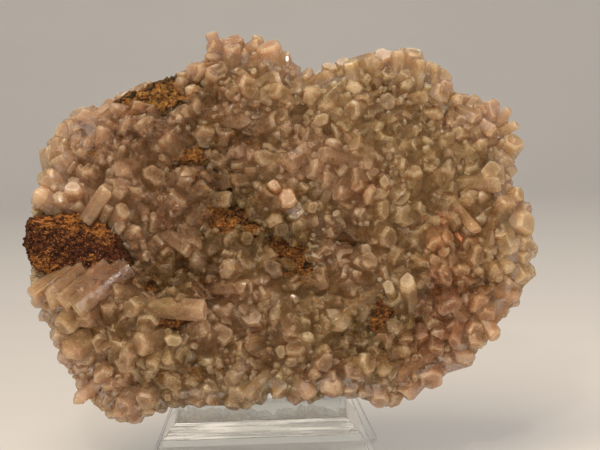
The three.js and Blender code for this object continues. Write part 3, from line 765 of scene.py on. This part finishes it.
def grow_face(seeds, ground, random):
    """Crystals in every free place of the face, the widest first, fanned out from chance centres."""
    sprays = np.stack([
        random.uniform(-88, 88, SPRAYS), random.uniform(0, 134, SPRAYS), random.uniform(8, 18, SPRAYS),
    ], axis=1)
    for width in np.sort(widths(random, *FACE_WIDTHS, FACE_TRIES))[::-1]:
        a = random.uniform(-92, 92)
        b = random.uniform(-6, 140)
        draw = random.uniform(size=11)
        far = outwards(a, b)
        if far > 1.0 or rock_share(a, b) > 0.16 * draw[10] - 0.03 * width:
            continue
        # some stand deeper in the crust than others
        d = surface(a, b) + 4.2 * (draw[0] - 0.55)
        if not ground.free((a, b, d), width):
            continue
        # it leans away from its nearest centre, and outwards near the edge, and a few lean anywhere
        spray = min(sprays, key=lambda at: math.hypot(a - at[0], b - at[1]) / at[2])
        fan = Vector((a - spray[0], b - spray[1], 0)) / spray[2]
        outward = Vector((a - MIDDLE[0], b - MIDDLE[1], 0)).normalized() * (0.1 + 0.6 * far ** 5)
        spread = 5.0 if draw[9] < 0.3 else 2.0
        axis = Vector((0, 0, 1)) + 1.35 * fan + outward + Vector((draw[1] - 0.5, draw[2] - 0.5, 0)) * spread
        axis.normalize()
        root = Vector((a, b, d)) - axis * ROOT
        # the more it lies down, the longer it may be
        length = 1.2 + width * (0.3 + 0.75 * draw[3] ** 1.4) * (0.8 + 1.5 * (1 - axis.z)) + ROOT
        length = kept_in(root, axis, width, length)
        tip = root + axis * length
        if rock_share(tip.x, tip.y) > 0.3:
            continue
        stain = stain_at(a, b) * (0.35 + 0.75 * float(draw[8]))
        add_main(seeds, a, b, root, axis, width, length, draw[4:8], stain, 0.9 * rim_share(a, b))
        ground.take([(a, b, d, width)])


def grow_edge(seeds, ground, random):
    """Short crystals round the edge, from the face to the back."""
    for width in widths(random, *EDGE_WIDTHS, EDGE_TRIES):
        angle = random.uniform(0, math.tau)
        down = random.uniform(0, 1)
        draw = random.uniform(size=9)
        reach = crust_radius(angle) - 1.6
        a = MIDDLE[0] + reach * math.cos(angle)
        b = MIDDLE[1] + reach * math.sin(angle)
        d = surface(a, b) * (1 - down) + (CRUST_WRAP + 2.5) * down
        if rock_share(a, b) > 0.2 or not ground.free((a, b, d), width):
            continue
        axis = Vector((math.cos(angle), math.sin(angle), 0.7 - 1.1 * down))
        axis += Vector((draw[0] - 0.5, draw[1] - 0.5, draw[2] - 0.5)) * 1.3
        axis.normalize()
        root = Vector((a, b, d)) - axis * ROOT
        length = kept_in(root, axis, width, CRYSTAL_REACH + 0.8 + 1.6 * draw[3] + ROOT)
        add_main(seeds, a, b, root, axis, width, length, draw[4:8], 0.1 + 0.3 * down, 1.0)
        ground.take([(a, b, d, width)])


def grow_crystals(ground):
    """The crystals that stand out, then smaller ones in every place that is still free."""
    random = np.random.RandomState(7)
    seeds = Seeds()
    for grow in (grow_large, grow_face, grow_edge):
        grow(seeds, ground, random)
    return seeds


def grow_between(ground):
    """The small crystals in the gaps between the others."""
    random = np.random.RandomState(19)
    seeds = Seeds()
    ground.spacing = GAP_SPACING
    for width in np.sort(random.uniform(*GAP_WIDTHS, GAP_TRIES))[::-1]:
        a = random.uniform(-90, 90)
        b = random.uniform(-4, 138)
        draw = random.uniform(size=10)
        if outwards(a, b) > 0.985 or rock_share(a, b) > 0.12 * draw[9] - 0.1:
            continue
        d = surface(a, b) + 0.6 + 1.8 * draw[0]
        if not ground.free((a, b, d), width):
            continue
        axis = Vector(((draw[1] - 0.5) * 2.4, (draw[2] - 0.5) * 2.4, 1.0)).normalized()
        root = Vector((a, b, d)) - axis * ROOT
        length = kept_in(root, axis, width, width * (0.7 + 1.3 * draw[3]) + ROOT)
        stain = min(1.0, 0.1 + 0.35 * draw[4] + 0.9 * stain_at(a, b))
        looks = (float(draw[7]), stain, blush_at(a, b) * float(draw[8]), 0.9 * rim_share(a, b))
        seeds.add(root, axis, width, length, int(draw[5] * len(TIPS)), (1.0, 0.8 + 0.3 * draw[6]), looks)
        ground.take([(a, b, d, width)])
    return seeds


class Growth(Graph):
    """The geometry tree of a piece that grows from seed points."""

    def __init__(self, name, product, inputs):
        tree = bpy.data.node_groups.new(name, "GeometryNodeTree")
        tree.is_modifier = True
        super().__init__(tree)
        self.product = product
        for socket, kind in inputs.items():
            tree.interface.new_socket(socket, in_out="INPUT", socket_type="NodeSocket" + kind)
        tree.interface.new_socket(product, in_out="OUTPUT", socket_type="NodeSocketGeometry")
        start = self.node("NodeGroupInput")
        self.given = {socket: self.output(start, socket) for socket in inputs}

    def kept(self, attribute, kind="FLOAT"):
        """A value that each seed point carries."""
        return self.node("GeometryNodeInputNamedAttribute", {"data_type": kind}, {"Name": attribute})

    def scaled(self, vector, by):
        return self.node("ShaderNodeVectorMath", {"operation": "SCALE"}, {0: vector, "Scale": by})

    def drawn(self, kind, low, high, seed):
        """A random number or vector for each point."""
        first, output = (0, 0) if kind == "FLOAT_VECTOR" else (2, 1)
        return self.node("FunctionNodeRandomValue", {"data_type": kind}, {
            first: low, first + 1: high, "Seed": seed,
        }, output=output)

    def finished(self, geometry):
        """The tree, ended: its instances made real and painted."""
        whole = self.node("GeometryNodeRealizeInstances", {}, {"Geometry": geometry})
        painted = self.node("GeometryNodeSetMaterial", {}, {
            "Geometry": whole, "Material": self.given["Material"],
        })
        self.node("NodeGroupOutput", {}, {self.product: painted})
        return self.tree


def druse_tree(name, with_crust):
    """Stands a crystal on each seed and grows them together, and with the crust, into one solid."""
    graph = Growth(name, "Druse", {
        "Seeds": "Geometry", "Crust": "Object", "Crystal forms": "Collection", "Turn seed": "Int",
        "Size": "Float", "Material": "Material",
    })
    given = graph.given
    turn = graph.drawn("FLOAT", 0.0, math.tau, given["Turn seed"])
    upright = graph.node("FunctionNodeAlignRotationToVector", {"axis": "Z"}, {
        "Vector": graph.kept("axis", "FLOAT_VECTOR"),
    })
    spin = graph.node("FunctionNodeAxisAngleToRotation", {}, {"Axis": (0, 0, 1), "Angle": turn})
    stance = graph.node("FunctionNodeRotateRotation", {"rotation_space": "LOCAL"}, {
        "Rotation": upright, "Rotate By": spin,
    })
    forms = graph.node("GeometryNodeCollectionInfo", {}, {
        "Collection": given["Crystal forms"], "Separate Children": True, "Reset Children": True,
    })
    crystals = graph.node("GeometryNodeInstanceOnPoints", {}, {
        "Points": given["Seeds"], "Instance": forms, "Pick Instance": True, "Rotation": stance,
        "Instance Index": graph.kept("form", "INT"),
        "Scale": graph.scaled(graph.kept("size", "FLOAT_VECTOR"), given["Size"]),
    })
    solids = [crystals]
    if with_crust:
        crust = graph.node("GeometryNodeObjectInfo", {}, {"Object": given["Crust"]})
        solids.append(graph.output(crust, "Geometry"))
    grown = graph.node("GeometryNodeMeshBoolean", {"operation": "UNION", "solver": "MANIFOLD"}, {
        "Mesh 2": solids,
    })
    singly = graph.node("GeometryNodeRealizeInstances", {}, {"Geometry": crystals})
    for attribute in CRYSTAL_LOOKS:
        nearest = graph.node("GeometryNodeSampleNearestSurface", {"data_type": "FLOAT"}, {
            "Mesh": singly, "Value": graph.kept(attribute),
            "Sample Position": graph.node("GeometryNodeInputPosition"),
        })
        grown = graph.node("GeometryNodeStoreNamedAttribute", {"data_type": "FLOAT", "domain": "FACE"}, {
            "Geometry": grown, "Name": attribute, "Value": nearest,
        })
    return graph.finished(grown)


def evaluated(holder):
    """The plain mesh that an object's modifiers make."""
    depsgraph = bpy.context.evaluated_depsgraph_get()
    return bpy.data.meshes.new_from_object(holder.evaluated_get(depsgraph), depsgraph=depsgraph)


def grown_piece(name, start, tree, inputs):
    """A plain mesh object made by a geometry tree from a starting mesh."""
    holder = into_scene(name + "_seeds", start)
    modifier = holder.modifiers.new("grow", "NODES")
    modifier.node_group = tree
    for item in tree.interface.items_tree:
        if item.item_type == "SOCKET" and item.in_out == "INPUT" and item.name in inputs:
            modifier[item.identifier] = inputs[item.name]
    mesh = evaluated(holder)
    bpy.data.objects.remove(holder)
    mesh.name = name
    return into_scene(name, mesh)


def slab_mesh(name, middle, segments, rings, radius, front, back):
    """A closed slab round a middle, from the radius and the d of its front and back."""
    points = []
    faces = []
    count = rings * segments + 1
    for level in (front, back):
        points.append(place(middle[0], middle[1], level(middle[0], middle[1], 0.0)))
        for ring in range(1, rings + 1):
            share = (ring / rings) ** 0.8
            for segment in range(segments):
                angle = (segment + (ring % 2) / 2) / segments * math.tau
                a = middle[0] + math.cos(angle) * radius(angle) * share
                b = middle[1] + math.sin(angle) * radius(angle) * share
                points.append(place(a, b, level(a, b, share)))

    def at(side, ring, segment):
        return side * count + 1 + (ring - 1) * segments + segment % segments

    for side in (0, 1):
        for segment in range(segments):
            faces.append((side * count, at(side, 1, segment), at(side, 1, segment + 1)))
            for ring in range(1, rings):
                near = (at(side, ring, segment), at(side, ring, segment + 1))
                far = (at(side, ring + 1, segment), at(side, ring + 1, segment + 1))
                if ring % 2:
                    faces += [(near[0], far[0], far[1]), (near[0], far[1], near[1])]
                else:
                    faces += [(near[0], far[0], near[1]), (far[0], far[1], near[1])]
    for segment in range(segments):
        after = segment + 1
        faces.append((at(0, rings, segment), at(1, rings, segment), at(1, rings, after), at(0, rings, after)))
    mesh = bpy.data.meshes.new(name)
    mesh.from_pydata(points, [], faces)
    solid = bmesh.new()
    solid.from_mesh(mesh)
    bmesh.ops.recalc_face_normals(solid, faces=solid.faces)
    solid.to_mesh(mesh)
    solid.free()
    return mesh


BED_PIT = 7.0  # how far the crust stays back where rock shows, mm


def crust_bed():
    """The crust that the crystals stand on."""
    def front(a, b, share):
        level = surface(a, b) + 0.7 + 1.3 * rough(a, b, 3.0)
        return level - BED_PIT * clamped(6 * rock_share(a, b) + 0.4)

    def back(a, b, share):
        return CRUST_WRAP + 3 * share ** 4 + 0.8 * rough(a, b, 4.0, 9.0)

    mesh = slab_mesh(
        "crust_bed", MIDDLE, segments=130, rings=40, radius=lambda angle: crust_radius(angle) - 0.8,
        front=front, back=back,
    )
    store(mesh, "along", [0.05] * len(mesh.vertices))
    store(mesh, "bed", [1.0] * len(mesh.polygons), "FACE")
    return into_scene("crust_bed", mesh)


def quartz_pieces(material):
    """The crust with its main crystals, and the small crystals between them."""
    bed = crust_bed()
    ground = Ground(SPACING)
    pieces = []
    for name, corner, grow, turn_seed in (
        ("quartz_crust", CORNER, grow_crystals, 3), ("small_crystals", 0.0, grow_between, 8),
    ):
        forms = crystal_forms(corner)
        seeds = grow(ground)
        is_crust = grow is grow_crystals
        inputs = {"Crystal forms": forms, "Turn seed": turn_seed, "Size": 1.0, "Material": material}
        if is_crust:
            inputs["Crust"] = bed
        piece = grown_piece(name, seeds.mesh(name + "_roots"), druse_tree(name + "_growth", is_crust), inputs)
        piece.data.shade_smooth()
        piece.data.set_sharp_from_angle(angle=math.radians(20))
        for form in list(forms.objects):
            bpy.data.objects.remove(form)
        bpy.data.collections.remove(forms)
        pieces.append(piece)
    bpy.data.objects.remove(bed)
    return pieces


# ------------ rock
GRAINS = 5200
GRAIN_SIZES = (0.5, 1.4)  # least and greatest, mm
VOXEL = 0.95  # how finely the rock is run together, mm
COARSE = 5.0  # size of the rock's larger bumps, mm
FINE = 1.6  # size of its smaller ones, mm
ROCK_MARKS = ("ochre", "moss", "bare")  # what its paint reads at each place
BLOCK_BAND = 61.5  # b of the dark band over the broken block, at its left end
MOSS_MIDDLE = (-46, 113)  # where the mossy crust is thickest


def rock_lumps():
    """Makes the rock's parts: a slab, its broken block and the lumps that show between the crystals."""
    yield slab_mesh(
        "slab", MIDDLE, segments=90, rings=20, radius=rock_radius,
        front=lambda a, b, share: surface(a, b) - CRUST_THICKNESS,
        back=lambda a, b, share: MATRIX_BACK + 2.6 + 6 * share ** 5 + 2.2 * rough(a, b, 22.0, 4.0),
    )
    yield slab_mesh(
        "block", BLOCK_MIDDLE, segments=60, rings=12, radius=lambda angle: block_radius(angle) - 0.3,
        front=lambda a, b, share: BLOCK_FACE + 2.2 * rough(a, b, 9.0) - 3.5 * share ** 6,
        back=lambda a, b, share: 0.5 * MATRIX_BACK,
    )
    for patch in BARE_ROCK:
        at_a, at_b, *_, depth = patch
        yield slab_mesh(
            "lump", (at_a, at_b), segments=24, rings=6,
            radius=lambda angle: 1.35 / patch_reach(patch, at_a + math.cos(angle), at_b + math.sin(angle)),
            front=lambda a, b, share: surface(a, b) - depth - 2.0 * share ** 3 + 1.4 * rough(a, b, 3.5),
            back=lambda a, b, share: -2.0,
        )


def weather(mesh):
    """Roughens the rock and marks where it is ochre, mossy or bare."""
    count = len(mesh.vertices)
    places = np.zeros(count * 3)
    normals = np.zeros(count * 3)
    mesh.vertices.foreach_get("co", places)
    mesh.vertex_normals.foreach_get("vector", normals)
    places = places.reshape(-1, 3)
    coarse = np.array([noise.fractal(Vector(at) / (COARSE * MM), 0.9, 2.1, 4) for at in places])
    fine = np.array([noise.fractal(Vector(at) / (FINE * MM), 0.7, 2.1, 3) for at in places])
    own = TO_WORLD.inverted()
    ochre = 0.5 + 0.4 * coarse
    moss = np.zeros(count)
    bare = np.ones(count)
    for index, at in enumerate(places):
        mine = own @ (Vector(at) / MM)
        if mine.y < 0:
            bare[index] = clamped(0.7 + 4 * rock_share(mine.x, mine.z))
        if mine.x < -50 and abs(mine.z - BLOCK_MIDDLE[1]) < 14 and mine.y < 9:
            band = abs(mine.z - BLOCK_BAND + 0.14 * (mine.x + 90)) / 7
            ochre[index] = 0.1 + 0.5 * band + 0.3 * coarse[index]
        else:
            away = (mine.x - MOSS_MIDDLE[0]) ** 2 + (mine.z - MOSS_MIDDLE[1]) ** 2
            moss[index] = 0.3 + 0.7 * math.exp(-away / 400)
    lift = 1.0 * coarse + 0.9 * fine - 0.5 - 2.4 * np.maximum(fine - 0.2, 0)
    places += normals.reshape(-1, 3) * (lift * MM)[:, None]
    mesh.vertices.foreach_set("co", places.ravel())
    for name, values in zip(ROCK_MARKS, (ochre, moss, bare)):
        store(mesh, name, values)
    mesh.update()


def rock_piece(material):
    """The rock, its parts run together and weathered."""
    whole = bmesh.new()
    for lump in rock_lumps():
        whole.from_mesh(lump)
    joined = bpy.data.meshes.new("matrix_rock")
    whole.to_mesh(joined)
    whole.free()
    rock = into_scene("matrix_rock", joined)
    remesh = rock.modifiers.new("remesh", "REMESH")
    remesh.mode = "VOXEL"
    remesh.voxel_size = VOXEL * MM
    mesh = evaluated(rock)
    rock.modifiers.clear()
    rock.data = mesh
    mesh.name = "matrix_rock"
    paint_with(mesh, material)
    weather(mesh)
    mesh.shade_smooth()
    return rock


def grain_tree():
    """Scatters angular grains over the rock where it is bare."""
    graph = Growth("grains", "Grains", {
        "Seeds": "Geometry", "Least size": "Float", "Greatest size": "Float", "Seed": "Int",
        "Material": "Material",
    })
    given = graph.given
    grain = graph.node("GeometryNodeMeshIcoSphere", {}, {"Radius": 0.5, "Subdivisions": 1})
    turn = graph.drawn("FLOAT_VECTOR", (0.0,) * 3, (math.tau,) * 3, given["Seed"])
    wide = graph.drawn("FLOAT", given["Least size"], given["Greatest size"], given["Seed"])
    stretch = graph.drawn("FLOAT_VECTOR", (0.6,) * 3, (1.3,) * 3, given["Seed"])
    grains = graph.node("GeometryNodeInstanceOnPoints", {}, {
        "Points": given["Seeds"], "Instance": grain, "Rotation": turn, "Scale": graph.scaled(stretch, wide),
    })
    return graph.finished(grains)


def rock_grains(rock, material):
    """Loose-looking grains half sunk in the bare rock."""
    mesh = rock.data
    random = np.random.RandomState(5)
    own = TO_WORLD.inverted()
    own_turn = own.to_3x3()
    chosen = []
    marks = {name: [] for name in ROCK_MARKS}
    for index in random.permutation(len(mesh.polygons)):
        face = mesh.polygons[int(index)]
        at = own @ (face.center / MM)
        out = own_turn @ face.normal
        hidden = at.z < -7 or (-out.y < 0.15 and not at.x < -54)
        if hidden or rock_share(at.x, at.z) < -0.25:
            continue
        chosen.append(face.center + face.normal * random.uniform(-0.2, 0.25) * MM)
        for name, values in marks.items():
            values.append(mesh.attributes[name].data[face.vertices[0]].value)
        marks["ochre"][-1] += random.uniform(-0.35, 0.35)
        if len(chosen) >= GRAINS:
            break
    start = bpy.data.meshes.new("grain_seeds")
    start.from_pydata(chosen, [], [])
    for name, values in marks.items():
        store(start, name, values)
    least, greatest = (size * MM for size in GRAIN_SIZES)
    grains = grown_piece("rock_grains", start, grain_tree(), {
        "Least size": least, "Greatest size": greatest, "Seed": 4, "Material": material,
    })
    grains.data.shade_flat()
    return grains


# ------------ easel
EASED = 0.45  # width of a plate's eased edges, mm
LEDGE_END_SLOPE = 2.0  # how much narrower the ledge is at its top, at each end, mm


def acrylic_piece(node, material, end_slope):
    """A plate of the easel with its edges eased and polished; its ends may slope inwards."""
    mesh = frame["nodes"][node].data.copy()
    mesh.name = node + "_plate"
    plate = bmesh.new()
    plate.from_mesh(mesh)
    bmesh.ops.remove_doubles(plate, verts=plate.verts, dist=1e-6)
    bmesh.ops.dissolve_limit(plate, angle_limit=math.radians(1), verts=plate.verts, edges=plate.edges)
    low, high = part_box(node)
    for vertex in plate.verts:
        if end_slope and vertex.co.z > (low.z + high.z) / 2:
            inwards = end_slope if vertex.co.x < (low.x + high.x) / 2 else -end_slope
            vertex.co.x += inwards * MM
    sharp = [edge for edge in plate.edges if edge.calc_face_angle(0) > math.radians(25)]
    bmesh.ops.bevel(
        plate, geom=sharp, offset=EASED * MM, segments=2, profile=0.5, affect="EDGES", clamp_overlap=True,
    )
    bmesh.ops.recalc_face_normals(plate, faces=plate.faces)
    plate.to_mesh(mesh)
    plate.free()
    widest = max(mesh.polygons, key=lambda face: face.area).normal
    store(mesh, "rim", [float(abs(face.normal.dot(widest)) < 0.8) for face in mesh.polygons], "FACE")
    paint_with(mesh, material)
    return into_scene(node + "_plate", mesh)


# ------------ studio
STUDIO_REACH = 3.0  # the floor's reach to the front and sides, and the wall's height, m
BEND_AT = 0.9  # where the floor starts to bend up, m
BEND = 0.5  # radius of the bend, m
AIM = (0, 0, 0.09)  # where the lamps point, m
SPARK = ((0.04, 0.04), 1.2, (1.0, 0.94, 0.88))
# The lamps, as name: [place, width and height, watts, colour], in metres.
LAMPS = {
    "key": ((-0.25, -0.62, 1.0), (0.7, 0.7), 10, (1.0, 0.81, 0.60)),
    "fill": ((0.1, -1.3, 0.4), (1.3, 0.9), 5, (1.0, 0.84, 0.68)),
    "top": ((0.1, 0.25, 1.0), (0.6, 0.4), 3.5, (1.0, 0.90, 0.80)),
    "spark_0": ((-0.12, -0.8, 0.62), *SPARK),
    "spark_1": ((0.42, -0.72, 0.4), *SPARK),
}
ROOM_LIGHT = 0.26


def backdrop_piece():
    """A pale floor that curves up into a wall."""
    curve = [(-STUDIO_REACH, 0.0), (BEND_AT, 0.0)]
    for angle in np.linspace(0.1, math.pi / 2, 12):
        curve.append((BEND_AT + BEND * math.sin(angle), BEND - BEND * math.cos(angle)))
    curve.append((BEND_AT + BEND, STUDIO_REACH))
    points = [(x, y, z) for x in (-STUDIO_REACH, STUDIO_REACH) for y, z in curve]
    count = len(curve)
    mesh = bpy.data.meshes.new("backdrop")
    mesh.from_pydata(points, [], [(i, i + count, i + count + 1, i + 1) for i in range(count - 1)])
    mesh.shade_smooth()
    paint_with(mesh, backdrop_paint())
    return into_scene("backdrop", mesh)


def studio():
    """The backdrop, soft lamps, two small ones for the glints, and a dim even light."""
    backdrop = backdrop_piece()
    for name, (at, size, power, tone) in LAMPS.items():
        data = bpy.data.lights.new(name, "AREA")
        data.shape = "RECTANGLE"
        data.size, data.size_y = size
        data.energy = power
        data.color = tone
        light = into_scene(name, data)
        light.location = at
        light.rotation_euler = (Vector(AIM) - Vector(at)).to_track_quat("-Z", "Y").to_euler()
    scene = bpy.context.scene
    scene.world = bpy.data.worlds.new("room")
    scene.world.use_nodes = True
    background = scene.world.node_tree.nodes["Background"]
    background.inputs[0].default_value = (0.95, 0.96, 1.0, 1)
    background.inputs[1].default_value = ROOM_LIGHT
    scene.view_settings.view_transform = "Standard"
    scene.view_settings.look = "None"


VIEW_PIXELS = 600  # the view's width
PIXEL = 0.356  # mm of the specimen that one pixel covers
DISTANCE = 0.75  # from the camera to the specimen, m
ELEVATION = math.radians(7)
SIGHT = (7.5, 67.3, 12)  # the place at the middle of the view
SENSOR = 36  # mm


def camera():
    """Looks at the crystal face from a little above, from the front."""
    sight = place(*SIGHT)
    data = bpy.data.cameras.new("camera")
    data.sensor_width = SENSOR
    data.lens = SENSOR * DISTANCE / (VIEW_PIXELS * PIXEL * MM)
    made = into_scene("camera", data)
    made.location = sight + DISTANCE * Vector((0, -math.cos(ELEVATION), math.sin(ELEVATION)))
    look = (sight - made.location).to_track_quat("-Z", "Y").to_matrix()
    made.rotation_euler = (look @ Matrix.Rotation(-ROLL, 3, "Z")).to_euler()
    bpy.context.scene.camera = made


# ------------ assembly
camera()
studio()
quartz = quartz_paint()
rock = rock_paint()
acrylic = acrylic_paint("clear_acrylic")
ledge_acrylic = acrylic_paint("sawn_acrylic", ledge_low.y)

for druse_piece in quartz_pieces(quartz):
    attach(druse_piece, "root")
    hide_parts("crystal_crust")

matrix_rock = rock_piece(rock)
for rock_part in (matrix_rock, rock_grains(matrix_rock, rock)):
    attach(rock_part, "root")
    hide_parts("matrix")

for plate_node in ("stand_back", "stand_ledge", "stand_front", "stand_leg"):
    is_ledge = plate_node == "stand_ledge"
    plate_acrylic = ledge_acrylic if is_ledge else acrylic
    plate_piece = acrylic_piece(plate_node, plate_acrylic, LEDGE_END_SLOPE if is_ledge else 0.0)
    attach(plate_piece, "root")
    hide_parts(plate_node)
